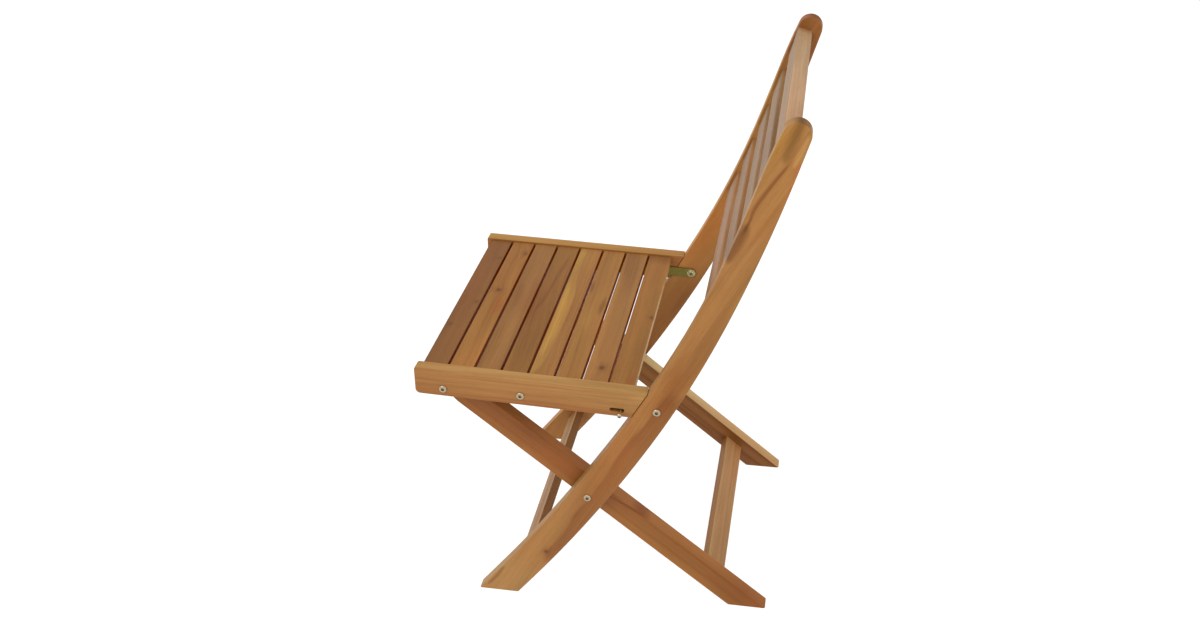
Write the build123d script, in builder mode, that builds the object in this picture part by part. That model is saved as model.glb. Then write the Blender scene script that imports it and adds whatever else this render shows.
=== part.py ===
from build123d import *
import os
from math import cos, degrees, atan2, hypot, radians, sin

os.makedirs("parts", exist_ok=True)

# Folding slatted chair, millimetres.
# Frame: +Z up, the sitter faces -Y, +X is the sitter's left.
# The origin lies on the floor, under the middle of the bounding box.

# ---------------------------------------------------------------- driving dimensions
overall_width = 460.0        # over the outer faces of the two stiles
stile_thick = 22.0           # thickness of stiles and seat rails, along X
inner = overall_width / 2 - stile_thick   # inner face of stiles and rails
outer = overall_width / 2                 # outer face of stiles and rails
arris = 2.4                  # rounding on the long edges of the frame members

leg_outer = inner - 3.3      # outer face of the rear legs
leg_thick = 26.0
leg_inner = leg_outer - leg_thick

# pivots of the folding linkage, as (y, z)
pivot_front = (-253.0, 429.55)    # seat rail on rear leg
pivot_cross = (-27.45, 232.4)     # rear leg on stile
pivot_strap_f = (-126.55, 428.25) # strap on seat rail
pivot_strap_r = (89.6, 417.8)     # strap on stile

# stile: one smooth sweeping curve, from the front foot to the round top end
stile_front_pts = [(-231.5, 0.0), (-192.0, 50.0), (-142.3, 115.0), (-92.3, 185.0),
                   (-41.3, 260.0), (7.2, 335.0), (53.1, 410.0), (95.6, 485.0),
                   (133.9, 560.0), (167.6, 635.0), (196.9, 710.0), (223.1, 785.0),
                   (243.6, 845.0), (261.56, 890.35)]
stile_top_tip = (286.35, 902.44)
stile_rear_pts = [(298.44, 877.65), (280.67, 820.0), (257.60, 750.0), (232.40, 680.0),
                  (205.11, 610.0), (175.25, 540.0), (142.51, 470.0), (106.48, 400.0),
                  (66.71, 330.0), (23.97, 260.0), (-21.62, 190.0), (-66.73, 125.0),
                  (-114.65, 60.0), (-161.19, 0.0)]

# seat: rails fall to the rear by one part in 24.6
seat_slope = -0.0407
seat_angle = degrees(atan2(seat_slope, 1.0))
rail_top_at_origin = 453.97
rail_depth = 49.0
rail_front = -298.0
rail_rear_top = 75.5
rail_rear_bottom = 47.9

seat_slat_w = 39.1
seat_slat_t = 13.5
seat_slat_pitch = 43.15
seat_slat_count = 8
seat_slat_first = (-269.67, 454.69)   # centre of the front slat's section
seat_slat_round = 0.7

# back: crest and lower slats as (y, z, tilt from the horizontal, width, thickness)
back_slats = [(266.2, 860.7, 74.1, 48.5, 24.0),
              (238.5, 792.9, 71.25, 43.5, 13.0),
              (217.4, 731.4, 70.44, 43.0, 13.0),
              (193.4, 668.4, 68.84, 43.0, 13.0),
              (168.4, 605.8, 66.39, 41.0, 13.0)]
back_names = ["crest_rail", "back_slat_1", "back_slat_2", "back_slat_3", "back_slat_4"]
back_slat_round = 2.2

rung_w, rung_t = 39.0, 16.0
rung_round = 1.5
front_rung = (-144.11, 67.48, 53.99)   # centre and tilt, between the stiles
rear_rung = (175.25, 49.0, -41.09)     # centre and tilt, between the rear legs

# tenons, glued into mortises a little larger than themselves
glue_gap = 0.1
seat_tenon = (28.0, 7.0, 10.0)     # width, thickness, length
back_tenon = (30.0, 7.0, 12.0)
crest_tenon = (34.0, 10.0, 12.0)
rung_tenon = (27.0, 8.0, 14.0)

# hardware
shank_r = 3.0
hole_r = 3.05
head_r = 6.5
head_h = 2.4
recess_r = 2.5
nut_r = 6.2
spacer_r = 8.0
strap_half = 8.7
strap_t = 2.5
side_gap = 0.3            # running gap between faces that move past each other

slot_centre = (27.25, 416.5)
slot_travel = 16.5
slot_h = 7.0
pocket_h = 10.0
pocket_d = 2.6
lock_at = (33.4, 416.22)
lock_r = 2.0
lock_head_r = 3.8
lock_reach = 13.0          # shank beyond the rail's outer face


def rail_top(y):
    return rail_top_at_origin + seat_slope * y


# ---------------------------------------------------------------- planes
inner_plane = Plane(origin=(inner, 0, 0), x_dir=(0, 1, 0), z_dir=(1, 0, 0))
outer_plane = Plane(origin=(outer, 0, 0), x_dir=(0, 1, 0), z_dir=(1, 0, 0))


def section_plane(y, z, tilt):
    """Plane across X through (y, z), its local x along the board's width."""
    return Plane(origin=(0, y, z), x_dir=(0, cos(radians(tilt)), sin(radians(tilt))),
                 z_dir=(1, 0, 0))


# ================================================================ BACK FRAME
# Stile: a 22 mm board sawn to a single curve, round at the top, flat at the foot.
with BuildPart() as stile_left:
    with BuildSketch(inner_plane):
        with BuildLine():
            front_edge = Spline(*stile_front_pts)
            ThreePointArc(front_edge @ 1, stile_top_tip, stile_rear_pts[0])
            rear_edge = Spline(*stile_rear_pts)
            Line(rear_edge @ 1, front_edge @ 0)
        make_face()
    extrude(amount=stile_thick)
    rims = stile_left.edges().group_by(Axis.X)[0] + stile_left.edges().group_by(Axis.X)[-1]
    fillet([e for e in rims if e.center().Z > 1.0], radius=arris)
    # mortises for the crest, the back slats and the front rung
    with BuildSketch(inner_plane):
        for (y, z, tilt, w, t) in back_slats:
            tenon = crest_tenon if t > 15 else back_tenon
            with Locations((y, z)):
                Rectangle(tenon[0] + 2 * glue_gap, tenon[1] + 2 * glue_gap, rotation=tilt)
    extrude(amount=back_tenon[2] + 0.5, mode=Mode.SUBTRACT)
    with BuildSketch(inner_plane):
        with Locations((front_rung[0], front_rung[1])):
            Rectangle(rung_tenon[0] + 2 * glue_gap, rung_tenon[1] + 2 * glue_gap,
                      rotation=front_rung[2])
    extrude(amount=rung_tenon[2] + 0.5, mode=Mode.SUBTRACT)
    # bolt holes right through: cross pivot and strap pivot
    with BuildSketch(inner_plane):
        with Locations(pivot_cross, pivot_strap_r):
            Circle(hole_r)
    extrude(amount=stile_thick, mode=Mode.SUBTRACT)
stile_left.part.label = "stile_left"
export_step(stile_left.part, "parts/stile_left.step")

with BuildPart() as stile_right:
    mirror(stile_left.part, about=Plane.YZ)
stile_right.part.label = "stile_right"
export_step(stile_right.part, "parts/stile_right.step")

# Crest and back slats: boards with rounded arrises, a tenon on each end.
for name, (y, z, tilt, w, t) in zip(back_names, back_slats):
    tenon = crest_tenon if t > 15 else back_tenon
    with BuildPart() as back_board:
        with BuildSketch(section_plane(y, z, tilt)):
            RectangleRounded(w, t, 3.0 if t > 15 else back_slat_round)
        extrude(amount=inner, both=True)
        with BuildSketch(section_plane(y, z, tilt)):
            Rectangle(tenon[0], tenon[1])
        extrude(amount=inner + tenon[2], both=True)
    back_board.part.label = name
    export_step(back_board.part, "parts/%s.step" % name)

with BuildPart() as rung_front:
    with BuildSketch(section_plane(*front_rung)):
        RectangleRounded(rung_w, rung_t, rung_round)
    extrude(amount=inner, both=True)
    with BuildSketch(section_plane(*front_rung)):
        Rectangle(rung_tenon[0], rung_tenon[1])
    extrude(amount=inner + rung_tenon[2], both=True)
rung_front.part.label = "front_rung"
export_step(rung_front.part, "parts/front_rung.step")

# ================================================================ REAR LEGS
# Leg: straight board from the seat's front pivot, across the stile, to the rear foot.
leg_dy = pivot_cross[0] - pivot_front[0]
leg_dz = pivot_cross[1] - pivot_front[1]
leg_span = hypot(leg_dy, leg_dz)              # between the two pivots
leg_dy, leg_dz = leg_dy / leg_span, leg_dz / leg_span
leg_up = 19.1, 20.3                           # pivot line to upper edge, at the flare and at the foot
leg_down = 23.8, 22.9                         # pivot line to lower edge, likewise
leg_end_r = 16.0                              # round end under the seat slats
leg_flare = 48.0                              # full width is reached here on the upper edge
leg_neck = (28.5, 22.5), (36.5, 23.8)         # lower edge: end of the narrow part, start of the full width


def leg_at_floor(offset):
    """Distance along the leg at which the line offset from the pivots meets the floor."""
    return (pivot_front[1] + offset * leg_dy) / -leg_dz


leg_plane = Plane(origin=(leg_inner, pivot_front[0], pivot_front[1]),
                  x_dir=(0, leg_dy, leg_dz), z_dir=(1, 0, 0))

with BuildPart() as leg_left:
    with BuildSketch(leg_plane):
        with BuildLine():
            Line((leg_flare, leg_up[0]), (0, leg_end_r))
            ThreePointArc((0, leg_end_r), (-leg_end_r, 0), (0, -leg_end_r))
            Line((0, -leg_end_r), (leg_neck[0][0], -leg_neck[0][1]))
            Line((leg_neck[0][0], -leg_neck[0][1]), (leg_neck[1][0], -leg_neck[1][1]))
            Line((leg_neck[1][0], -leg_neck[1][1]), (leg_at_floor(-leg_down[1]), -leg_down[1]))
            Line((leg_at_floor(-leg_down[1]), -leg_down[1]), (leg_at_floor(leg_up[1]), leg_up[1]))
            Line((leg_at_floor(leg_up[1]), leg_up[1]), (leg_flare, leg_up[0]))
        make_face()
    extrude(amount=leg_thick)
    rims = leg_left.edges().group_by(Axis.X)[0] + leg_left.edges().group_by(Axis.X)[-1]
    fillet([e for e in rims if e.center().Z > 1.0], radius=2.6)
    with BuildSketch(leg_plane):
        with Locations((0, 0), (leg_span, 0)):
            Circle(hole_r)
    extrude(amount=leg_thick, mode=Mode.SUBTRACT)
    with BuildSketch(Plane(origin=(leg_inner, 0, 0), x_dir=(0, 1, 0), z_dir=(1, 0, 0))):
        with Locations((rear_rung[0], rear_rung[1])):
            Rectangle(rung_tenon[0] + 2 * glue_gap, rung_tenon[1] + 2 * glue_gap,
                      rotation=rear_rung[2])
    extrude(amount=rung_tenon[2] + 0.5, mode=Mode.SUBTRACT)
leg_left.part.label = "rear_leg_left"
export_step(leg_left.part, "parts/rear_leg_left.step")

with BuildPart() as leg_right:
    mirror(leg_left.part, about=Plane.YZ)
leg_right.part.label = "rear_leg_right"
export_step(leg_right.part, "parts/rear_leg_right.step")

with BuildPart() as rung_rear:
    with BuildSketch(section_plane(*rear_rung)):
        RectangleRounded(rung_w, rung_t, rung_round)
    extrude(amount=leg_inner, both=True)
    with BuildSketch(section_plane(*rear_rung)):
        Rectangle(rung_tenon[0], rung_tenon[1])
    extrude(amount=leg_inner + rung_tenon[2], both=True)
rung_rear.part.label = "rear_rung"
export_step(rung_rear.part, "parts/rear_rung.step")

# ================================================================ SEAT
# Rail: mitred at the rear to lie along the stile's front edge when the chair is open.
drop = rail_depth / cos(radians(seat_angle))
with BuildPart() as rail_left:
    with BuildSketch(inner_plane):
        with BuildLine():
            Polyline((rail_front, rail_top(rail_front)),
                     (rail_rear_top + 20.0, rail_top(rail_rear_top + 20.0)),
                     (rail_rear_bottom + 20.0, rail_top(rail_rear_bottom + 20.0) - drop),
                     (rail_front - 2.5, rail_top(rail_front - 2.5) - drop), close=True)
        make_face()
    extrude(amount=stile_thick)
    # ends: the vertical edges at the front are rounded in profile
    across = rail_left.edges().filter_by(Axis.X).sort_by(Axis.Y)
    front_two = across[0:2].sort_by(Axis.Z)
    fillet(front_two[0], radius=8.0)
    across = rail_left.edges().filter_by(Axis.X).filter_by(
        lambda e: e.center().Z > 455.0 and e.center().Y < -280.0)
    fillet(across, radius=4.0)
    rims = rail_left.edges().group_by(Axis.X)[0] + rail_left.edges().group_by(Axis.X)[-1]
    fillet(rims, radius=arris)
    # the mitre is a clean saw cut
    upper = Vector(rail_rear_top, rail_top(rail_rear_top))
    lower = Vector(rail_rear_bottom, rail_top(rail_rear_bottom) - drop)
    beyond = (upper - lower).normalized() * 12.0
    with BuildSketch(inner_plane):
        with BuildLine():
            Polyline(upper + beyond, lower - beyond,
                     lower - beyond + Vector(60.0, 0), upper + beyond + Vector(60.0, 0), close=True)
        make_face()
    extrude(amount=stile_thick, mode=Mode.SUBTRACT)
    # slat mortises
    with BuildSketch(inner_plane):
        for i in range(seat_slat_count):
            with Locations((seat_slat_first[0] + i * seat_slat_pitch,
                            seat_slat_first[1] + i * seat_slat_pitch * seat_slope)):
                Rectangle(seat_tenon[0] + 2 * glue_gap, seat_tenon[1] + 2 * glue_gap,
                          rotation=seat_angle)
    extrude(amount=seat_tenon[2] + 0.5, mode=Mode.SUBTRACT)
    # bolt holes: front pivot and strap pivot
    with BuildSketch(inner_plane):
        with Locations(pivot_front, pivot_strap_f):
            Circle(hole_r)
    extrude(amount=stile_thick, mode=Mode.SUBTRACT)
    # slot for the lock pin, with a shallow pocket for its clip on the inner face
    with BuildSketch(inner_plane):
        with Locations(slot_centre):
            SlotCenterToCenter(slot_travel, slot_h, rotation=seat_angle)
    extrude(amount=stile_thick, mode=Mode.SUBTRACT)
    with BuildSketch(inner_plane):
        with Locations(slot_centre):
            SlotCenterToCenter(slot_travel, pocket_h, rotation=seat_angle)
    extrude(amount=pocket_d, mode=Mode.SUBTRACT)
rail_left.part.label = "seat_rail_left"
export_step(rail_left.part, "parts/seat_rail_left.step")

with BuildPart() as rail_right:
    mirror(rail_left.part, about=Plane.YZ)
rail_right.part.label = "seat_rail_right"
export_step(rail_right.part, "parts/seat_rail_right.step")

for i in range(seat_slat_count):
    slat_y = seat_slat_first[0] + i * seat_slat_pitch
    slat_z = seat_slat_first[1] + i * seat_slat_pitch * seat_slope
    with BuildPart() as seat_board:
        with BuildSketch(section_plane(slat_y, slat_z, seat_angle)):
            RectangleRounded(seat_slat_w, seat_slat_t, seat_slat_round)
        extrude(amount=inner, both=True)
        with BuildSketch(section_plane(slat_y, slat_z, seat_angle)):
            Rectangle(seat_tenon[0], seat_tenon[1])
        extrude(amount=inner + seat_tenon[2], both=True)
    seat_board.part.label = "seat_slat_%d" % (i + 1)
    export_step(seat_board.part, "parts/seat_slat_%d.step" % (i + 1))

# ================================================================ HARDWARE
nut_t = 3.0
long_end = leg_inner - side_gap - 1.7     # where a bolt through the leg stops
short_end = leg_outer - 1.3               # where a bolt through the strap stops


def axle_plane(x, at, facing=1):
    """Plane across X at x, centred on the pivot at, its normal along +X or -X."""
    return Plane(origin=(x, at[0], at[1]), x_dir=(0, 1, 0), z_dir=(facing, 0, 0))


# Bolts: low domed head with a hexagon recess, plain shank. One node holds the pair.
for name, at, end in (("cross_bolts", pivot_cross, long_end),
                      ("front_bolts", pivot_front, long_end),
                      ("strap_front_bolts", pivot_strap_f, short_end),
                      ("strap_rear_bolts", pivot_strap_r, inner)):
    with BuildPart() as bolt:
        with BuildSketch(axle_plane(outer, at)):
            Circle(head_r)
        extrude(amount=head_h)
        fillet(bolt.edges().filter_by(GeomType.CIRCLE).group_by(Axis.X)[-1], radius=1.7)
        with BuildSketch(axle_plane(outer + head_h, at, -1)):
            RegularPolygon(radius=recess_r, side_count=6)
        extrude(amount=1.6, mode=Mode.SUBTRACT)
        with BuildSketch(axle_plane(end, at)):
            Circle(shank_r)
        extrude(amount=outer - end)
        mirror(about=Plane.YZ)
    bolt.part.label = name
    export_step(bolt.part, "parts/%s.step" % name)

# Cap nuts on the inner ends of the bolts.
for name, at, face, depth in (("cross_nuts", pivot_cross, leg_inner - side_gap, 1.9),
                              ("front_nuts", pivot_front, leg_inner - side_gap, 1.9),
                              ("strap_front_nuts", pivot_strap_f,
                               inner - side_gap - strap_t - side_gap, 1.7)):
    with BuildPart() as nut:
        with BuildSketch(axle_plane(face, at, -1)):
            Circle(nut_r)
        extrude(amount=nut_t)
        fillet(nut.edges().filter_by(GeomType.CIRCLE).group_by(Axis.X)[0], radius=2.0)
        with BuildSketch(axle_plane(face, at, -1)):
            Circle(hole_r)
        extrude(amount=depth, mode=Mode.SUBTRACT)
        mirror(about=Plane.YZ)
    nut.part.label = name
    export_step(nut.part, "parts/%s.step" % name)

# Spacer washers hold the legs away from stiles and rails, so the straps pass between.
for name, at in (("cross_spacers", pivot_cross), ("front_spacers", pivot_front)):
    with BuildPart() as spacer:
        with BuildSketch(axle_plane(leg_outer + side_gap, at)):
            Circle(spacer_r)
            Circle(hole_r, mode=Mode.SUBTRACT)
        extrude(amount=inner - leg_outer - side_gap)
        mirror(about=Plane.YZ)
    spacer.part.label = name
    export_step(spacer.part, "parts/%s.step" % name)

# Straps: flat steel with round ends, on the inner faces of rail and stile.
strap_dy = pivot_strap_r[0] - pivot_strap_f[0]
strap_dz = pivot_strap_r[1] - pivot_strap_f[1]
strap_len = hypot(strap_dy, strap_dz)
strap_mid = (pivot_strap_f[0] + strap_dy / 2, pivot_strap_f[1] + strap_dz / 2)
strap_face = inner - side_gap - strap_t
with BuildPart() as strap_left:
    with BuildSketch(Plane(origin=(strap_face, strap_mid[0], strap_mid[1]),
                           x_dir=(0, strap_dy, strap_dz), z_dir=(1, 0, 0))):
        SlotCenterToCenter(strap_len, 2 * strap_half)
        with Locations((-strap_len / 2, 0)):
            Circle(hole_r, mode=Mode.SUBTRACT)
        with Locations((strap_len / 2, 0)):
            Circle(3.25, mode=Mode.SUBTRACT)
    extrude(amount=strap_t)
    outline = [e for e in strap_left.edges() if e.length > 25.0]
    fillet(outline, radius=0.5)
strap_left.part.label = "strap_left"
export_step(strap_left.part, "parts/strap_left.step")

with BuildPart() as strap_right:
    mirror(strap_left.part, about=Plane.YZ)
strap_right.part.label = "strap_right"
export_step(strap_right.part, "parts/strap_right.step")

# Domed cap on the strap's rear end.
with BuildPart() as cap_left:
    with BuildSketch(axle_plane(strap_face, pivot_strap_r, -1)):
        Circle(7.5)
    extrude(amount=1.0)
    fillet(cap_left.edges().filter_by(GeomType.CIRCLE).group_by(Axis.X)[0], radius=0.6)
    with BuildSketch(axle_plane(strap_face - 1.0, pivot_strap_r, -1)):
        Circle(5.2)
    extrude(amount=1.8)
    fillet(cap_left.edges().filter_by(GeomType.CIRCLE).group_by(Axis.X)[0], radius=1.3)
    with BuildSketch(axle_plane(strap_face - 2.8, pivot_strap_r)):
        Circle(2.0)
    extrude(amount=0.9, mode=Mode.SUBTRACT)
cap_left.part.label = "strap_cap_left"
export_step(cap_left.part, "parts/strap_cap_left.step")

with BuildPart() as cap_right:
    mirror(cap_left.part, about=Plane.YZ)
cap_right.part.label = "strap_cap_right"
export_step(cap_right.part, "parts/strap_cap_right.step")

# Lock pin: slides along the rail's slot; shank with a small domed head outside.
clip_x = inner + 0.5
with BuildPart() as lock_left:
    with BuildSketch(axle_plane(clip_x + 0.1, lock_at)):
        Circle(lock_r)
    extrude(amount=outer + lock_reach - clip_x - 0.1)
    with BuildSketch(axle_plane(outer + lock_reach, lock_at)):
        Circle(lock_head_r)
    extrude(amount=2.8)
    fillet(lock_left.edges().filter_by(GeomType.CIRCLE).group_by(Axis.X)[-1], radius=1.5)
lock_left.part.label = "lock_pin_left"
export_step(lock_left.part, "parts/lock_pin_left.step")

with BuildPart() as lock_right:
    mirror(lock_left.part, about=Plane.YZ)
lock_right.part.label = "lock_pin_right"
export_step(lock_right.part, "parts/lock_pin_right.step")

# Clip pressed on the pin's inner end, running in the rail's pocket.
with BuildPart() as clip_left:
    with BuildSketch(axle_plane(clip_x, lock_at)):
        Circle(4.0)
        Circle(lock_r + 0.02, mode=Mode.SUBTRACT)
    extrude(amount=1.5)
clip_left.part.label = "lock_clip_left"
export_step(clip_left.part, "parts/lock_clip_left.step")

with BuildPart() as clip_right:
    mirror(clip_left.part, about=Plane.YZ)
clip_right.part.label = "lock_clip_right"
export_step(clip_right.part, "parts/lock_clip_right.step")
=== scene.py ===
"""Looks for a folding slatted garden chair in oiled acacia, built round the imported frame.

Every board gets its own procedural wood: rings about a pith line that lies beside the board, fibre, pores,
knots and sapwood, all in a frame fixed to that board. The hardware is zinc plated, clear or yellow.
"""
import math

import bpy
from mathutils import Matrix, Vector

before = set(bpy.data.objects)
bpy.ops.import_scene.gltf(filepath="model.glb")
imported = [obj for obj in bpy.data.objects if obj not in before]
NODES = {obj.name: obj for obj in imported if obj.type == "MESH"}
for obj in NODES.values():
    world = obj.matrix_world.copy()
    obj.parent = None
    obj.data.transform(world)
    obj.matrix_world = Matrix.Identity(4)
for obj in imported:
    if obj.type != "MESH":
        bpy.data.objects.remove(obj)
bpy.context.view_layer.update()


# ----------------------------------------------------------------------------------------------- node graph helper

def linear(c):
    """sRGB 0-255 to linear 0-1."""
    out = []
    for x in c:
        x = max(0.0, x) / 255.0
        out.append(x / 12.92 if x <= 0.04045 else ((x + 0.055) / 1.055) ** 2.4)
    return tuple(out)


def scaled(c, k):
    return tuple(max(0.0, min(1.0, a * b)) for a, b in zip(c, k))


class Graph:
    """A material's node tree, with one method for each kind of node that it uses."""

    def __init__(self, name):
        self.material = bpy.data.materials.new(name)
        self.material.use_nodes = True
        self.tree = self.material.node_tree
        self.tree.nodes.clear()

    def node(self, kind):
        return self.tree.nodes.new(kind)

    def put(self, socket, value):
        if isinstance(value, bpy.types.NodeSocket):
            self.tree.links.new(value, socket)
        elif value is not None:
            socket.default_value = value

    def math(self, op, a, b=None, c=None, clamp=False):
        n = self.node("ShaderNodeMath")
        n.operation = op
        n.use_clamp = clamp
        self.put(n.inputs[0], a)
        self.put(n.inputs[1], b)
        if c is not None:
            self.put(n.inputs[2], c)
        return n.outputs[0]

    def add(self, a, b):
        return self.math("ADD", a, b)

    def sub(self, a, b):
        return self.math("SUBTRACT", a, b)

    def mul(self, a, b):
        return self.math("MULTIPLY", a, b)

    def mad(self, a, b, c):
        return self.math("MULTIPLY_ADD", a, b, c)

    def vec(self, op, a, b=None):
        n = self.node("ShaderNodeVectorMath")
        n.operation = op
        self.put(n.inputs[0], a)
        if b is not None:
            self.put(n.inputs[1], b)
        return n.outputs["Value"] if op in ("DOT_PRODUCT", "LENGTH", "DISTANCE") else n.outputs["Vector"]

    def xyz(self, x, y, z):
        n = self.node("ShaderNodeCombineXYZ")
        for s, v in zip(n.inputs, (x, y, z)):
            self.put(s, v)
        return n.outputs[0]

    def step(self, x, low, high):
        """0 below low, 1 above high, smooth between; low may be above high."""
        n = self.node("ShaderNodeMapRange")
        n.interpolation_type = "SMOOTHSTEP"
        n.clamp = True
        self.put(n.inputs["Value"], x)
        if low <= high:
            ends = (low, high, 0.0, 1.0)
        else:
            ends = (high, low, 1.0, 0.0)
        for name, v in zip(("From Min", "From Max", "To Min", "To Max"), ends):
            n.inputs[name].default_value = v
        return n.outputs["Result"]

    def noise(self, vector, scale=1.0, detail=2.0, rough=0.5, distortion=0.0):
        n = self.node("ShaderNodeTexNoise")
        n.noise_dimensions = "3D"
        self.put(n.inputs["Vector"], vector)
        n.inputs["Scale"].default_value = scale
        n.inputs["Detail"].default_value = detail
        n.inputs["Roughness"].default_value = rough
        n.inputs["Distortion"].default_value = distortion
        return n.outputs[0]

    def noise1(self, w, detail=2.0, rough=0.5):
        n = self.node("ShaderNodeTexNoise")
        n.noise_dimensions = "1D"
        self.put(n.inputs["W"], w)
        n.inputs["Scale"].default_value = 1.0
        n.inputs["Detail"].default_value = detail
        n.inputs["Roughness"].default_value = rough
        return n.outputs[0]

    def ramp(self, fac, stops, interpolation="LINEAR"):
        n = self.node("ShaderNodeValToRGB")
        n.color_ramp.interpolation = interpolation
        e = n.color_ramp.elements
        while len(e) < len(stops):
            e.new(0.5)
        for i, (pos, col) in enumerate(stops):
            e[i].position = pos
            e[i].color = (*col, 1.0)
        self.put(n.inputs[0], fac)
        return n.outputs[0]

    def curve(self, x, points):
        """A smooth function of x in 0..1 through points, whose values are in 0..1."""
        n = self.node("ShaderNodeFloatCurve")
        c = n.mapping.curves[0]
        c.points[0].location = points[0]
        c.points[1].location = points[-1]
        for p in points[1:-1]:
            c.points.new(*p)
        for q in c.points:
            q.handle_type = "AUTO_CLAMPED"
        n.mapping.update()
        n.inputs["Factor"].default_value = 1.0
        self.put(n.inputs["Value"], x)
        return n.outputs[0]

    def mix(self, fac, a, b, blend="MIX"):
        n = self.node("ShaderNodeMix")
        n.data_type = "RGBA"
        n.blend_type = blend
        n.clamp_factor = True
        self.put(n.inputs[0], fac)
        for i, v in ((6, a), (7, b)):
            if isinstance(v, (tuple, list)):
                v = (*v, 1.0)
            self.put(n.inputs[i], v)
        return n.outputs[2]

    def shader(self, base, rough, height, bump=0.25, distance=0.0004, sheen=0.5, **constants):
        b = self.node("ShaderNodeBsdfPrincipled")
        self.put(b.inputs["Base Color"], base)
        self.put(b.inputs["Roughness"], rough)
        self.put(b.inputs["Specular IOR Level"], sheen)
        for name, v in constants.items():
            b.inputs[name.replace("_", " ")].default_value = v
        if height is not None:
            n = self.node("ShaderNodeBump")
            n.inputs["Strength"].default_value = bump
            n.inputs["Distance"].default_value = distance
            self.put(n.inputs["Height"], height)
            self.put(b.inputs["Normal"], n.outputs[0])
        out = self.node("ShaderNodeOutputMaterial")
        self.tree.links.new(b.outputs[0], out.inputs["Surface"])
        return self.material


# ------------------------------------------------------------------------------------------------------------ wood

class Board:
    """Where a board lies: its centre in metres, the grain direction u, the direction across the face v, and w."""

    def __init__(self, centre, u, v, w):
        self.centre, self.u, self.v, self.w = (Vector(x) for x in (centre, u, v, w))

    def at(self, x, y, z):
        """(u, v) in metres of a point in the chair's frame given in millimetres."""
        d = Vector((x, y, z)) / 1000.0 - self.centre
        return d.dot(self.u), d.dot(self.v)


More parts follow.
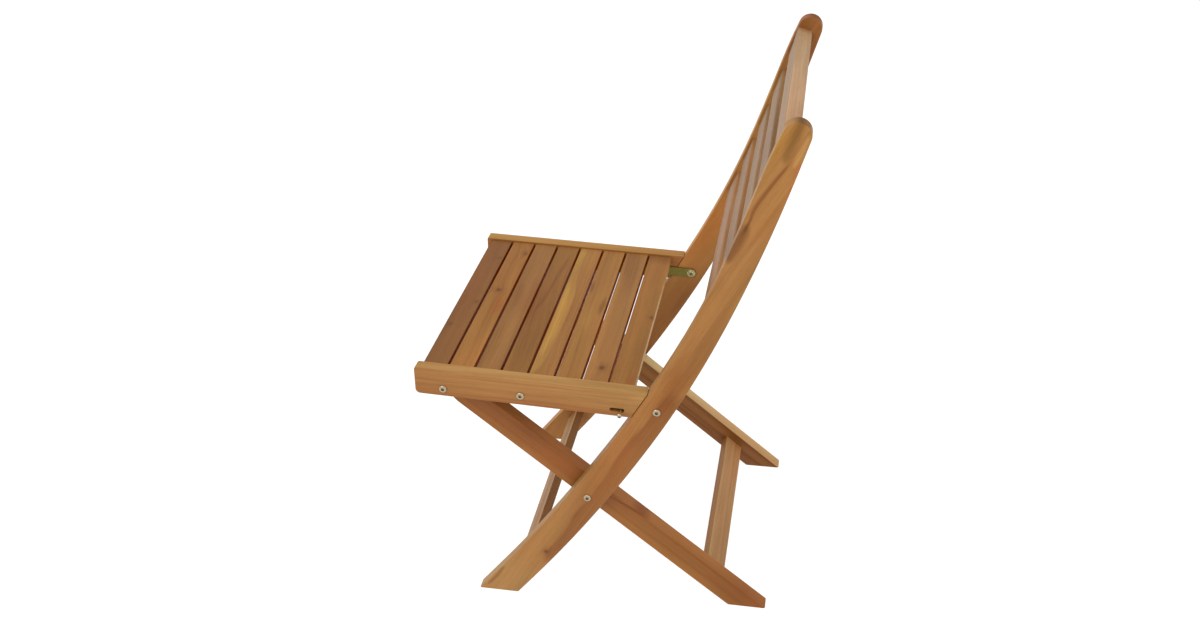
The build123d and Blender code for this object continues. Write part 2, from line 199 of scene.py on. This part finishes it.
def wood(name, board, tone, seed=0.0, pith=(0.05, -0.05), slope=(0.02, 0.0), rings=150.0, zones=34.0,
         amounts=(0.55, 0.30, 0.24, 0.45), contrast=1.0, wander=0.010, knots=(), marks=(), faces=(),
         matt=(), warm=0.35, red=(1.10, 0.93, 0.80), olive=(0.93, 1.02, 1.00), arris=0.06, bump=0.22, gloss=0.50):
    """Oiled acacia for one board.

    tone     the mean colour, sRGB 0-255
    pith     how far the tree's centre line lies from the board's, across (v) and through (w), in metres
    slope    how much that line leans for each metre along the grain, so the rings run out in long arches
    knots    (u, v, half length, half width, depth of colour, push of the rings)
    marks    (kind, ..., colour factor, strength); see below
    faces    (direction, colour factor): painted light and shade, a face drawn lighter or darker than the rest of the board
             for the light that falls on it; on the stiles' ends it also tints the end grain
    matt     directions of sawn sides that have no sheen
    """
    g = Graph(name)
    coords = g.node("ShaderNodeTexCoord")
    p = g.vec("SUBTRACT", coords.outputs["Object"], tuple(board.centre))
    u = g.vec("DOT_PRODUCT", p, tuple(board.u))
    v = g.vec("DOT_PRODUCT", p, tuple(board.v))
    w = g.vec("DOT_PRODUCT", p, tuple(board.w))
    sx, sy, sz = seed * 3.17 + 1.3, seed * 1.91 + 7.7, seed * 2.63 + 4.1

    def stretched(along, across, off=0.0, vv=None, ww=None):
        return g.xyz(g.mad(u, along, sx + off), g.mad(vv or v, across, sy + off * 0.7), g.mad(ww or w, across, sz + off * 1.3))

    # the grain wanders slowly, then a little faster
    slow = g.noise(stretched(1.7, 5.0), detail=1.0)
    slow2 = g.noise(stretched(1.9, 6.0, 11.0), detail=1.0)
    quick = g.noise(stretched(9.0, 34.0, 5.0), detail=2.0)
    vv = g.add(v, g.add(g.mad(slow, wander * 2, -wander), g.mad(quick, 0.0036, -0.0018)))
    ww = g.add(w, g.mad(slow2, wander * 1.6, -wander * 0.8))

    # knots push the rings outwards, so they close into eyes
    push = None
    cores = []
    for ku, kv, lu, lv, depth, force in knots:
        du = g.mul(g.sub(u, ku), 1.0 / lu)
        dv = g.mul(g.sub(v, kv), 1.0 / lv)
        rough_edge = g.noise(stretched(90.0, 150.0, 3.0 + ku * 40), detail=2.0)
        d2 = g.add(g.math("POWER", g.math("ABSOLUTE", du), 2.0), g.math("POWER", g.math("ABSOLUTE", dv), 2.0))
        d2 = g.mul(d2, g.mad(rough_edge, 0.9, 0.55))
        bell = g.math("EXPONENT", g.mul(d2, -0.55))
        push = g.mul(bell, force) if push is None else g.mad(bell, force, push)
        cores.append((g.math("EXPONENT", g.mul(d2, -1.6)), g.math("EXPONENT", g.mul(d2, -9.0)), depth))

    a = g.sub(vv, g.mad(u, slope[0], pith[0]))
    b = g.sub(ww, g.mad(u, slope[1], pith[1]))
    r = g.math("SQRT", g.add(g.mul(a, a), g.mul(b, b)))
    if push is not None:
        r = g.add(r, push)

    zone = g.noise1(g.mad(r, zones, seed * 5.3), detail=1.5, rough=0.5)
    ring = g.noise1(g.mad(r, rings, seed * 9.1), detail=3.0, rough=0.62)
    fibre = g.noise(stretched(7.0, 330.0, 2.0, vv, ww), detail=3.0, rough=0.6)
    hair = g.noise(stretched(26.0, 1250.0, 4.0, vv, ww), detail=2.0, rough=0.6)
    cloud = g.noise(stretched(3.4, 15.0, 8.0), detail=2.0, rough=0.55)
    pore = g.step(g.noise(stretched(70.0, 2100.0, 6.0, vv, ww), detail=1.0, rough=0.5), 0.60, 0.74)

    k = [x * contrast for x in amounts]
    t = g.mad(zone, k[0] * 2, 0.5 - k[0])
    t = g.add(t, g.mad(ring, k[1] * 2, -k[1]))
    t = g.add(t, g.mad(fibre, k[2] * 2, -k[2]))
    t = g.add(t, g.mad(cloud, k[3] * 2, -k[3]))
    base = linear(tone)
    colour = g.ramp(t, [
        (0.02, scaled(base, (0.50, 0.42, 0.34))),
        (0.28, scaled(base, (0.76, 0.70, 0.62))),
        (0.50, scaled(base, (1.00, 1.00, 1.00))),
        (0.72, scaled(base, (1.17, 1.22, 1.28))),
        (0.98, scaled(base, (1.34, 1.48, 1.70))),
    ])

    # patches of redder and of greener wood
    hue = g.noise(stretched(2.2, 11.0, 17.0), detail=1.0)
    colour = g.mix(g.mul(g.step(hue, 0.50, 0.68), warm * 2), colour, g.mix(1.0, colour, red, "MULTIPLY"))
    colour = g.mix(g.mul(g.step(hue, 0.48, 0.32), warm * 2), colour, g.mix(1.0, colour, olive, "MULTIPLY"))

    # drawn features of this board, which stay where they are put but for a slight waver
    vm = g.mad(quick, 0.0022, g.sub(v, 0.0011))
    def follow(points):
        """How far along the points' span, 0 to 1 inside it, and the line's v there."""
        us, vs = [q[0] for q in points], [q[1] for q in points]
        u0, u1 = min(us), max(us)
        v0, v1 = min(vs) - 0.004, max(vs) + 0.004
        along = g.mul(g.sub(u, u0), 1.0 / (u1 - u0))
        inside = g.math("MAXIMUM", g.math("MINIMUM", along, 1.0), 0.0)
        line = g.curve(inside, sorted(((q[0] - u0) / (u1 - u0), (q[1] - v0) / (v1 - v0)) for q in points))
        return along, g.mad(line, v1 - v0, v0)

    for kind, *m in marks:
        if kind == "path":              # a soft line of half width hw through points (u, v)
            points, hw, factor, strength = m
            along, line = follow(points)
            bulge = g.math("MAXIMUM", g.mul(g.mul(along, g.sub(1.0, along)), 4.0), 0.02)
            off = g.math("DIVIDE", g.math("ABSOLUTE", g.sub(vm, line)), g.math("SQRT", bulge))
            mask = g.mul(g.step(off, hw * 1.5, hw * 0.10), g.step(bulge, 0.04, 0.60))
        elif kind == "side":            # everything on one side of a line drawn through points (u, v)
            points, soft, factor, strength = m
            along, line = follow(points)
            over = g.sub(vm, line)
            mask = g.step(over, -soft, soft)
            mask = g.mul(mask, g.mul(g.step(along, -0.02, 0.06), g.step(along, 1.02, 0.94)))
        elif kind == "patch":           # a soft oval at (u, v), half length and half width
            (u0, v0), lu, lv, factor, strength = m
            du = g.mul(g.sub(u, u0), 1.0 / lu)
            dv = g.mul(g.sub(vm, v0), 1.0 / lv)
            d = g.math("SQRT", g.add(g.mul(du, du), g.mul(dv, dv)))
            wave = g.noise(stretched(22.0, 90.0, 27.0), detail=2.0)
            mask = g.step(g.add(d, g.mad(wave, 0.8, -0.4)), 1.15, 0.25)
        elif kind == "ends":            # a change of tone towards the end u -> u1, from u0
            u0, u1, factor, strength = m
            mask = g.step(g.add(u, g.mad(quick, 0.03, -0.015)), u0, u1)
        colour = g.mix(g.mul(mask, strength), colour, g.mix(1.0, colour, factor, "MULTIPLY"))

    for halo, core, depth in cores:
        colour = g.mix(g.mul(halo, 0.55 * depth), colour, g.mix(1.0, colour, (0.66, 0.52, 0.46), "MULTIPLY"))
        colour = g.mix(g.mul(core, 0.85 * depth), colour, g.mix(1.0, colour, (0.42, 0.30, 0.28), "MULTIPLY"))

    normal = coords.outputs["Normal"]
    # painted light and shade: each listed direction of surface is drawn lighter or darker for the light that falls on
    # it
    for direction, factor in faces:
        facing = g.step(g.vec("DOT_PRODUCT", normal, tuple(direction)), 0.55, 0.85)
        colour = g.mix(facing, colour, g.mix(1.0, colour, factor, "MULTIPLY"))

    # end grain is darker; rounded arrises are lighter, partly sanding wear and partly a painted highlight
    along_n = g.math("ABSOLUTE", g.vec("DOT_PRODUCT", normal, tuple(board.u)))
    through_n = g.math("ABSOLUTE", g.vec("DOT_PRODUCT", normal, tuple(board.w)))
    end = g.step(along_n, 0.80, 0.97)
    colour = g.mix(g.mul(end, 0.55), colour, g.mix(1.0, colour, (0.66, 0.58, 0.52), "MULTIPLY"))
    edge = g.mul(g.step(through_n, 0.20, 0.50), g.step(through_n, 0.985, 0.86))
    arris_wear_and_highlight = g.noise(stretched(16.0, 60.0, 31.0), detail=2.0)
    colour = g.mix(g.mul(edge, g.mul(g.step(arris_wear_and_highlight, 0.30, 0.62), arris * 2)), colour, g.mix(1.0, colour, (1.16, 1.14, 1.08), "MULTIPLY"))

    # open pores and fine hair lines
    colour = g.mix(g.mul(pore, 0.34), colour, g.mix(1.0, colour, (0.52, 0.44, 0.40), "MULTIPLY"))
    colour = g.mix(g.step(hair, 0.42, 0.66), colour, g.mix(1.0, colour, (1.05, 1.06, 1.08), "MULTIPLY"))

    sheen = 0.24
    for direction in matt:
        sawn = g.step(g.vec("DOT_PRODUCT", normal, tuple(direction)), 0.55, 0.85)
        sheen = g.mul(sheen, g.sub(1.0, g.mul(sawn, 0.92)))

    rough = g.mad(fibre, 0.16, gloss - 0.08)
    rough = g.add(rough, g.mul(pore, 0.14))
    rough = g.math("ADD", rough, g.mul(end, 0.18), clamp=True)
    height = g.add(g.add(g.mul(fibre, 0.50), g.mul(hair, 0.25)), g.add(g.mul(ring, 0.30), g.mul(pore, -0.45)))
    return g.shader(colour, rough, height, bump=bump, distance=0.0005, sheen=sheen, IOR=1.46)


# --------------------------------------------------------------------------------------------- where each board lies

def lateral(y, z, tilt):
    """A board that runs across the chair, in millimetres and degrees."""
    c, s = math.cos(math.radians(tilt)), math.sin(math.radians(tilt))
    return Board((0.0, y / 1000, z / 1000), (1, 0, 0), (0, c, s), (0, -s, c))


def stile(side):
    return Board((side * 0.219, 0.0, 0.45), (0, 0.4924, 0.8704), (0, 0.8704, -0.4924), (side, 0, 0))


def rail(side):
    return Board((side * 0.219, -0.11, 0.434), (0, 0.99917, -0.04067), (0, 0.04067, 0.99917), (side, 0, 0))


def leg(side):
    return Board((side * 0.1917, -0.02745, 0.2324), (0, 0.7530, -0.6581), (0, 0.6581, 0.7530), (side, 0, 0))


SLAT = [lateral(-269.72 + 43.15 * i, 454.69 - 1.756 * i, -2.33) for i in range(8)]
CREST = lateral(266.2, 860.7, 74.1)
BACK = [lateral(238.5, 792.9, 71.25), lateral(217.4, 731.4, 70.44), lateral(193.4, 668.4, 68.84), lateral(168.4, 605.8, 66.39)]
FRONT_RUNG = lateral(-144.11, 67.48, 53.99)
REAR_RUNG = lateral(175.25, 49.0, -41.09)
NEAR_STILE, FAR_STILE = stile(1), stile(-1)
NEAR_RAIL, FAR_RAIL = rail(1), rail(-1)
NEAR_LEG, FAR_LEG = leg(1), leg(-1)

TONE = {
    "stile_left": (156, 107, 54), "stile_right": (144, 96, 44),
    "seat_rail_left": (154, 104, 54), "seat_rail_right": (146, 92, 43),
    # the far leg's tone is kept dark as painted shade of its inner side; its top is painted paler below
    "rear_leg_left": (144, 92, 43), "rear_leg_right": (122, 74, 28),
    "front_rung": (161, 117, 71), "rear_rung": (167, 122, 75),
    "crest_rail": (149, 113, 77),
    "back_slat_1": (141, 104, 67), "back_slat_2": (139, 104, 67), "back_slat_3": (139, 101, 60), "back_slat_4": (147, 102, 60),
    "seat_slat_1": (128, 79, 36), "seat_slat_2": (157, 102, 44), "seat_slat_3": (145, 98, 48), "seat_slat_4": (141, 94, 40),
    "seat_slat_5": (154, 104, 49), "seat_slat_6": (157, 106, 48), "seat_slat_7": (152, 104, 51), "seat_slat_8": (148, 96, 40),
}

WOOD = {}


def make(name, board, **kw):
    WOOD[name] = wood("acacia_" + name, board, TONE[name], **kw)


def on(board, x, *points):
    """Points (y, z) in millimetres on the board's face at x, as (u, v)."""
    return [board.at(x, y, z) for y, z in points]


# directions of surfaces that are painted lighter or darker for the light that falls on them
FRONT_UP = (0, -0.8704, 0.4924)         # the stile's front edge
STILE_END = (0, 0.4924, 0.8704)
LEG_TOP = (0, 0.6581, 0.7530)
UP = (0, 0.0407, 0.9992)

# painted reflection: the stiles' front edges are drawn lighter and greyer, as the sheen of a grazing view; the end
# factors tint the end grain
n = NEAR_STILE
make("stile_left", n, seed=1.0, pith=(0.090, -0.020), slope=(0.030, 0.01), rings=110, zones=22,
     amounts=(0.20, 0.12, 0.20, 0.34), wander=0.008,
     faces=[(FRONT_UP, (1.08, 1.22, 1.45)), (STILE_END, (0.90, 0.98, 1.14))],
     knots=[(*on(n, 230, (-105, 103))[0], 0.014, 0.012, 1.0, 0.006)],
     marks=[
         ("side", on(n, 230, (114, 463), (95, 435), (71, 394), (46.6, 360), (28, 328), (3.7, 278), (-14, 250.6), (-21, 237),
                     (-32, 220.6), (-52, 192), (-57.5, 179), (-70, 154), (-85.6, 129.5), (-98, 112), (-116, 78)),
          0.0030, (0.76, 0.64, 0.54), 1.0),
         ("patch", on(n, 230, (150, 515))[0], 0.13, 0.035, (0.84, 0.74, 0.66), 0.9),
         ("patch", on(n, 230, (112, 455))[0], 0.075, 0.030, (0.95, 0.82, 0.64), 0.9),
         ("patch", on(n, 230, (205, 700))[0], 0.060, 0.030, (1.07, 1.11, 1.25), 0.9),
         ("ends", -0.37, -0.45, (1.06, 1.12, 1.26), 0.9),
         ("path", on(n, 230, (-220, 6), (-200, 31), (-180, 62)), 0.0036, (0.60, 0.48, 0.40), 0.75),
         ("path", on(n, 230, (289, 915), (281, 893), (272, 866), (262, 840)), 0.0085, (0.64, 0.60, 0.44), 0.9),
         ("path", on(n, 230, (297, 890), (289, 868), (276, 836)), 0.0046, (1.24, 1.36, 1.50), 0.95),
         ("path", on(n, 230, (286, 853), (280, 820), (270, 780)), 0.0050, (1.04, 0.82, 0.68), 0.9),
         ("path", on(n, 230, (279, 856), (264, 833), (250, 812), (233, 784), (220, 751), (210, 728)), 0.0030, (0.64, 0.50, 0.36), 1.0),
         ("path", on(n, 230, (222, 757), (211, 730), (199, 706), (188, 684)), 0.0095, (0.54, 0.44, 0.38), 0.95),
         ("patch", on(n, 230, (256, 866))[0], 0.05, 0.011, (1.04, 1.04, 0.74), 0.8),
     ])
n = FAR_STILE
make("stile_right", n, seed=2.0, pith=(0.080, 0.030), slope=(0.025, -0.01), rings=110, zones=22,
     amounts=(0.44, 0.16, 0.22, 0.62), wander=0.012, warm=0.55,
     faces=[(FRONT_UP, (1.45, 1.60, 1.75)), (STILE_END, (1.06, 1.02, 1.10))],
     marks=[
         ("ends", 0.40, 0.46, (0.82, 0.72, 0.72), 0.8),
         ("ends", 0.02, -0.06, (0.90, 0.82, 0.72), 0.8),
         ("patch", (-0.01, 0.0), 0.06, 0.030, (0.87, 0.73, 0.58), 0.9),
         ("patch", (0.16, 0.0), 0.05, 0.030, (1.00, 1.12, 1.28), 0.8),
     ])
# painted light: the rails' top surfaces are drawn lighter, as light from above
n = NEAR_RAIL
make("seat_rail_left", n, seed=3.0, pith=(0.100, -0.02), slope=(0.012, 0.0), rings=150, zones=30, wander=0.005,
     amounts=(0.18, 0.20, 0.26, 0.22), faces=[(UP, (1.12, 1.26, 1.26))],
     marks=[("side", [(-0.20, 0.008), (-0.10, 0.004), (0.0, 0.003), (0.10, 0.000), (0.20, -0.002)], 0.006, (1.12, 1.18, 1.24), 0.8),
            ("side", [(-0.20, -0.006), (-0.10, -0.011), (0.0, -0.013), (0.10, -0.014), (0.20, -0.015)], -0.005, (0.96, 0.82, 0.70), 0.8),
            ("patch", (0.176, 0.016), 0.022, 0.008, (1.16, 1.22, 1.30), 0.8)])
n = FAR_RAIL
make("seat_rail_right", n, seed=4.0, pith=(0.100, 0.02), slope=(0.012, 0.0), rings=150, zones=30, wander=0.004,
     amounts=(0.20, 0.20, 0.24, 0.22), faces=[(UP, (1.52, 1.95, 1.94))])
# painted light: the top surface is drawn lighter, as light from above
n = NEAR_LEG
make("rear_leg_left", n, seed=5.0, pith=(0.085, -0.01), slope=(0.010, 0.0), rings=120, zones=50, wander=0.005,
     amounts=(0.30, 0.20, 0.22, 0.28), faces=[(LEG_TOP, (1.20, 1.28, 1.36))],
     marks=[("path", on(n, 204.7, (-10, 226), (13.7, 213.3), (63.6, 180.4), (88.7, 163.8), (130, 128)), 0.0024, (0.66, 0.48, 0.36), 0.85),
            ("side", [(-0.30, -0.006), (-0.10, -0.006), (0.10, -0.005), (0.36, -0.006)], 0.005, (0.88, 0.82, 0.76), 0.8),
            ("side", [(-0.30, -0.013), (-0.10, -0.013), (0.10, -0.012), (0.36, -0.015)], -0.004, (1.14, 1.14, 1.10), 0.8),
            # painted shadow: the first 'ends' mark darkens the upper part of the leg, under the seat rail
            ("ends", -0.09, -0.165, (0.84, 0.84, 0.76), 1.0), ("ends", -0.14, -0.06, (0.97, 0.92, 0.78), 1.0), ("ends", 0.10, 0.18, (0.98, 0.94, 0.82), 1.0),
            ("ends", 0.24, 0.34, (0.84, 0.78, 0.62), 1.0)])
# painted light and shade: the top surface is drawn far paler and yellower, as light from above, over a tone kept dark
# as the shade on the inner side
n = FAR_LEG
make("rear_leg_right", n, seed=6.0, pith=(0.085, 0.02), slope=(0.012, 0.0), rings=120, zones=50, wander=0.005,
     amounts=(0.34, 0.22, 0.22, 0.30), faces=[(LEG_TOP, (2.80, 4.90, 12.0))],
     marks=[("path", [(0.06, -0.010), (0.14, -0.013), (0.24, -0.012)], 0.0022, (0.62, 0.52, 0.46), 0.8),
            ("ends", -0.02, -0.12, (0.90, 0.84, 0.78), 0.8)])
# painted shade: the rungs' surfaces that face up under the seat are drawn darker, as its shade
make("front_rung", FRONT_RUNG, seed=7.0, pith=(0.060, -0.03), rings=150, zones=50, amounts=(0.30, 0.20, 0.24, 0.30),
     faces=[((0, 0.588, 0.809), (0.62, 0.52, 0.42))])
make("rear_rung", REAR_RUNG, seed=8.0, pith=(0.070, -0.03), rings=150, zones=50, amounts=(0.26, 0.20, 0.24, 0.30),
     faces=[((0, -0.754, 0.657), (0.84, 0.72, 0.56))],
     # painted highlight: a lighter band along the rear rung's edge next to its narrow side
     marks=[("side", [(-0.20, -0.012), (0.20, -0.012)], -0.003, (1.12, 1.20, 1.30), 0.8)])
# painted light: the top surfaces of the crest rail and back slats are drawn lighter, as light from above
make("crest_rail", CREST, seed=9.0, pith=(0.070, -0.03), rings=150, zones=40, amounts=(0.26, 0.18, 0.22, 0.30),
     faces=[((0, 0.274, 0.962), (1.55, 1.64, 1.86))],
     marks=[("ends", -0.184, -0.212, (0.78, 0.60, 0.46), 0.85)])
for i, b in enumerate(BACK):
    make("back_slat_%d" % (i + 1), b, seed=10.0 + i, pith=(0.060 + 0.006 * i, -0.03), rings=150, zones=44,
         amounts=(0.30, 0.20, 0.22, 0.34), faces=[((0, 0.32, 0.947), (1.34, 1.36, 1.36))])

SAWN = [(0, 1, 0), (0, -1, 0)]
# painted shade: the sawn sides of the seat slats are drawn darker and redder, as shade in the gaps between them
SLAT_SIDE_SHADE = [(d, (0.95, 0.50, 0.12)) for d in SAWN]
SOFT = dict(amounts=(0.26, 0.16, 0.22, 0.40), rings=140, zones=30, faces=SLAT_SIDE_SHADE, matt=SAWN)
make("seat_slat_1", SLAT[0], seed=21.0, pith=(0.060, -0.03), slope=(0.02, 0.0),
     amounts=(0.26, 0.16, 0.22, 0.40), rings=140, zones=30, faces=[SLAT_SIDE_SHADE[0]], matt=SAWN,
     knots=[(0.013, 0.013, 0.014, 0.010, 0.45, 0.004), (0.090, -0.011, 0.010, 0.008, 0.5, 0.003), (-0.144, 0.012, 0.012, 0.009, 0.4, 0.003)],
     marks=[("side", [(-0.21, 0.009), (0.0, 0.010), (0.21, 0.006)], 0.004, (1.06, 1.14, 1.10), 0.8)])
make("seat_slat_2", SLAT[1], seed=22.0, pith=(0.055, -0.04), slope=(0.02, 0.0), **SOFT,
     knots=[(-0.033, -0.003, 0.014, 0.012, 1.0, 0.006), (-0.168, 0.012, 0.018, 0.011, 0.6, 0.008)],
     marks=[("patch", (0.015, 0.008), 0.045, 0.012, (1.06, 0.84, 0.70), 0.9),
            ("path", [(-0.19, -0.002), (-0.175, 0.001), (-0.150, 0.004)], 0.003, (1.16, 1.24, 1.30), 0.8)])
make("seat_slat_3", SLAT[2], seed=23.0, pith=(0.060, -0.03), **SOFT,
     marks=[("patch", (-0.02, -0.008), 0.05, 0.010, (0.86, 0.80, 0.74), 0.8),
            ("patch", (0.10, 0.006), 0.07, 0.010, (1.10, 1.12, 1.12), 0.7)])
make("seat_slat_4", SLAT[3], seed=24.0, pith=(0.050, -0.04), slope=(0.08, 0.0), **SOFT,
     marks=[("path", [(-0.19, 0.010), (-0.10, 0.002), (-0.02, -0.004), (0.04, -0.014)], 0.0036, (0.74, 0.68, 0.62), 0.8),
            ("patch", (-0.09, 0.012), 0.05, 0.007, (1.14, 1.10, 1.14), 0.8)])
make("seat_slat_5", SLAT[4], seed=25.0, pith=(0.060, -0.04), slope=(0.02, 0.0), **SOFT,
     marks=[("side", [(-0.215, -0.006), (-0.16, -0.008), (-0.126, -0.007), (-0.083, -0.004), (-0.015, 0.003), (0.051, 0.002), (0.113, 0.000),
                      (0.158, -0.003), (0.19, -0.009), (0.212, -0.016)], -0.0022, (1.24, 1.42, 1.30), 1.0),
            ("path", [(-0.10, -0.016), (-0.03, -0.012), (0.05, -0.010), (0.12, -0.012), (0.17, -0.016)], 0.007, (1.20, 1.30, 1.22), 1.0),
            ("ends", -0.10, -0.17, (1.10, 1.14, 1.10), 0.8)])
make("seat_slat_6", SLAT[5], seed=26.0, pith=(0.060, -0.03), **SOFT,
     marks=[("patch", (-0.012, 0.013), 0.030, 0.007, (0.66, 0.62, 0.54), 0.9), ("patch", (-0.072, -0.016), 0.022, 0.005, (0.68, 0.60, 0.52), 0.8),
            ("patch", (0.03, -0.002), 0.05, 0.009, (1.12, 1.18, 1.10), 0.8)])
make("seat_slat_7", SLAT[6], seed=27.0, pith=(0.060, -0.03), **SOFT,
     knots=[(0.168, 0.0035, 0.017, 0.014, 1.0, 0.008)])
# painted light and shade: the rear side is drawn lighter, as light falling on it, and the first 'ends' mark darkens
# the far end, as shade by the far rail and stile
make("seat_slat_8", SLAT[7], seed=28.0, pith=(0.060, -0.03), amounts=(0.26, 0.16, 0.22, 0.40), rings=140, zones=30,
     faces=[((0, 1, 0), (1.25, 1.50, 1.75)), SLAT_SIDE_SHADE[1]], matt=SAWN[1:],
     knots=[(0.006, 0.0155, 0.012, 0.009, 0.8, 0.004)],
     marks=[("ends", -0.165, -0.20, (0.70, 0.66, 0.62), 0.9), ("patch", (0.196, 0.010), 0.022, 0.009, (0.98, 0.78, 0.68), 0.8)])



# -------------------------------------------------------------------------------------------------------- hardware

def zinc(name, tone, deep, axes=(), rough=0.30, brushed=None, patch=0.35, top_highlight=0.9):
    """Zinc plate: a mottled metal with fine scratches. axes are (y, z, radius) in mm of holes and recesses that are
    drawn darker.
    """
    g = Graph(name)
    coords = g.node("ShaderNodeTexCoord")
    p = coords.outputs["Object"]
    blotch = g.noise(p, scale=260.0, detail=3.0, rough=0.6)
    fine = g.noise(p, scale=2400.0, detail=2.0, rough=0.6)
    base, dark = linear(tone), linear(deep)
    colour = g.mix(g.mul(g.step(blotch, 0.35, 0.68), patch * 2), base, scaled(base, (0.80, 0.80, 0.78)))
    if brushed is not None:
        lay = g.vec("MULTIPLY", p, brushed)
        scratch = g.noise(lay, scale=1.0, detail=3.0, rough=0.65)
        colour = g.mix(g.mul(g.step(scratch, 0.40, 0.70), 0.5), colour, scaled(base, (0.72, 0.74, 0.78)))
    else:
        scratch = fine
    parts = g.node("ShaderNodeSeparateXYZ")
    g.put(parts.inputs[0], p)
    recess_dark = None
    for y, z, radius in axes:
        dy = g.sub(parts.outputs["Y"], y / 1000)
        dz = g.sub(parts.outputs["Z"], z / 1000)
        d = g.math("SQRT", g.add(g.mul(dy, dy), g.mul(dz, dz)))
        m = g.step(d, radius / 1000 * 1.12, radius / 1000 * 0.86)
        recess_dark = m if recess_dark is None else g.math("MAXIMUM", recess_dark, m)
    if recess_dark is not None:
        colour = g.mix(g.mul(recess_dark, 0.85), colour, dark)
    # painted highlight: upward-facing surfaces are drawn lighter, as light from above; painted shade: downward-facing
    # ones are drawn darker, as shade under them
    up = g.vec("DOT_PRODUCT", coords.outputs["Normal"], (0.0, 0.0, 1.0))
    colour = g.mix(g.mul(g.step(up, 0.15, 0.75), top_highlight), colour, g.mix(1.0, colour, (1.5, 1.5, 1.5), "MULTIPLY"))
    colour = g.mix(g.mul(g.step(up, -0.10, -0.60), 0.85), colour, g.mix(1.0, colour, (0.42, 0.36, 0.28), "MULTIPLY"))
    roughness = g.mad(fine, 0.16, rough - 0.08)
    roughness = g.mad(blotch, 0.14, g.sub(roughness, 0.07))
    return g.shader(colour, roughness, g.add(g.mul(scratch, 0.6), g.mul(blotch, 0.4)), bump=0.12, distance=0.0002,
                    Metallic=1.0)


PIVOT = {"front": (-253.0, 429.55), "cross": (-27.45, 232.4), "strap_front": (-126.55, 428.25), "strap_rear": (89.6, 417.8)}
BOLT = zinc("bright_zinc_bolts", (176, 162, 138), (112, 88, 58), [(y, z, 2.9) for y, z in PIVOT.values()], rough=0.30)
NUT = zinc("bright_zinc_nuts", (196, 194, 186), (80, 76, 68), rough=0.34)
STRAP = zinc("yellow_zinc_strap", (128, 120, 62), (90, 84, 40), rough=0.30, brushed=(900.0, 14.0, 900.0), patch=0.45, top_highlight=1.0)
CAP = zinc("yellow_zinc_cap", (184, 174, 136), (112, 102, 64), [(89.6, 417.8, 3.6)], rough=0.24)
PIN = zinc("bright_zinc_pin", (186, 176, 156), (60, 44, 38), [(33.6, 414.6, 2.3)], rough=0.28)

for name, obj in NODES.items():
    if name in WOOD:
        m = WOOD[name]
    elif name.startswith("strap_cap"):
        m = CAP
    elif name in ("strap_left", "strap_right"):
        m = STRAP
    elif name.startswith("lock_"):
        m = PIN
    elif name.endswith("_bolts"):
        m = BOLT
    else:
        m = NUT
    obj.data.materials.clear()
    obj.data.materials.append(m)


# ------------------------------------------------------------------------------------------- floor, light and camera

scene = bpy.context.scene
scene.view_settings.view_transform = "Standard"
scene.view_settings.look = "None"

world = bpy.data.worlds.new("studio")
scene.world = world
world.use_nodes = True
world.node_tree.nodes["Background"].inputs[0].default_value = (1.0, 1.0, 1.0, 1.0)
world.node_tree.nodes["Background"].inputs[1].default_value = 0.85

floor_mesh = bpy.data.meshes.new("floor")
s = 12.0
floor_mesh.from_pydata([(-s, -s, 0), (s, -s, 0), (s, s, 0), (-s, s, 0)], [], [(0, 1, 2, 3)])
floor = bpy.data.objects.new("floor", floor_mesh)
floor.location = (0, 0, -0.0004)
scene.collection.objects.link(floor)
fm = bpy.data.materials.new("pale_floor")
fm.use_nodes = True
fb = fm.node_tree.nodes["Principled BSDF"]
fb.inputs["Base Color"].default_value = (0.22, 0.22, 0.22, 1)
fb.inputs["Roughness"].default_value = 0.9
fb.inputs["Specular IOR Level"].default_value = 0.0
fb.inputs["Emission Color"].default_value = (1, 1, 1, 1)
fb.inputs["Emission Strength"].default_value = 0.92
floor_mesh.materials.append(fm)


def area(name, at, to, size, watts, colour=(1, 1, 1)):
    lamp = bpy.data.lights.new(name, "AREA")
    lamp.shape = "SQUARE"
    lamp.size = size
    lamp.energy = watts
    lamp.color = colour
    o = bpy.data.objects.new(name, lamp)
    o.location = at
    o.rotation_euler = (Vector(to) - Vector(at)).to_track_quat("-Z", "Y").to_euler()
    scene.collection.objects.link(o)
    return o


area("key", (2.2, -1.6, 2.9), (0, 0, 0.45), 2.4, 34.0)
area("fill", (1.6, 2.6, 2.2), (0, 0, 0.45), 2.4, 16.0)

cam = bpy.data.cameras.new("camera")
cam.sensor_fit = "HORIZONTAL"
cam.sensor_width = 36.0
cam.lens = 35.25
cam.clip_start, cam.clip_end = 0.05, 60.0
camera = bpy.data.objects.new("camera", cam)
right = Vector((-0.186873009, 0.981718247, -0.036163000))
down = Vector((0.523243974, 0.068310693, -0.849440636))
forward = Vector((-0.831441052, -0.177659599, -0.526443581))
turn = Matrix((right, -down, -forward)).transposed().to_4x4()
camera.matrix_world = Matrix.Translation((1.67380, 0.31542, 1.50274)) @ turn
scene.collection.objects.link(camera)
scene.camera = camera
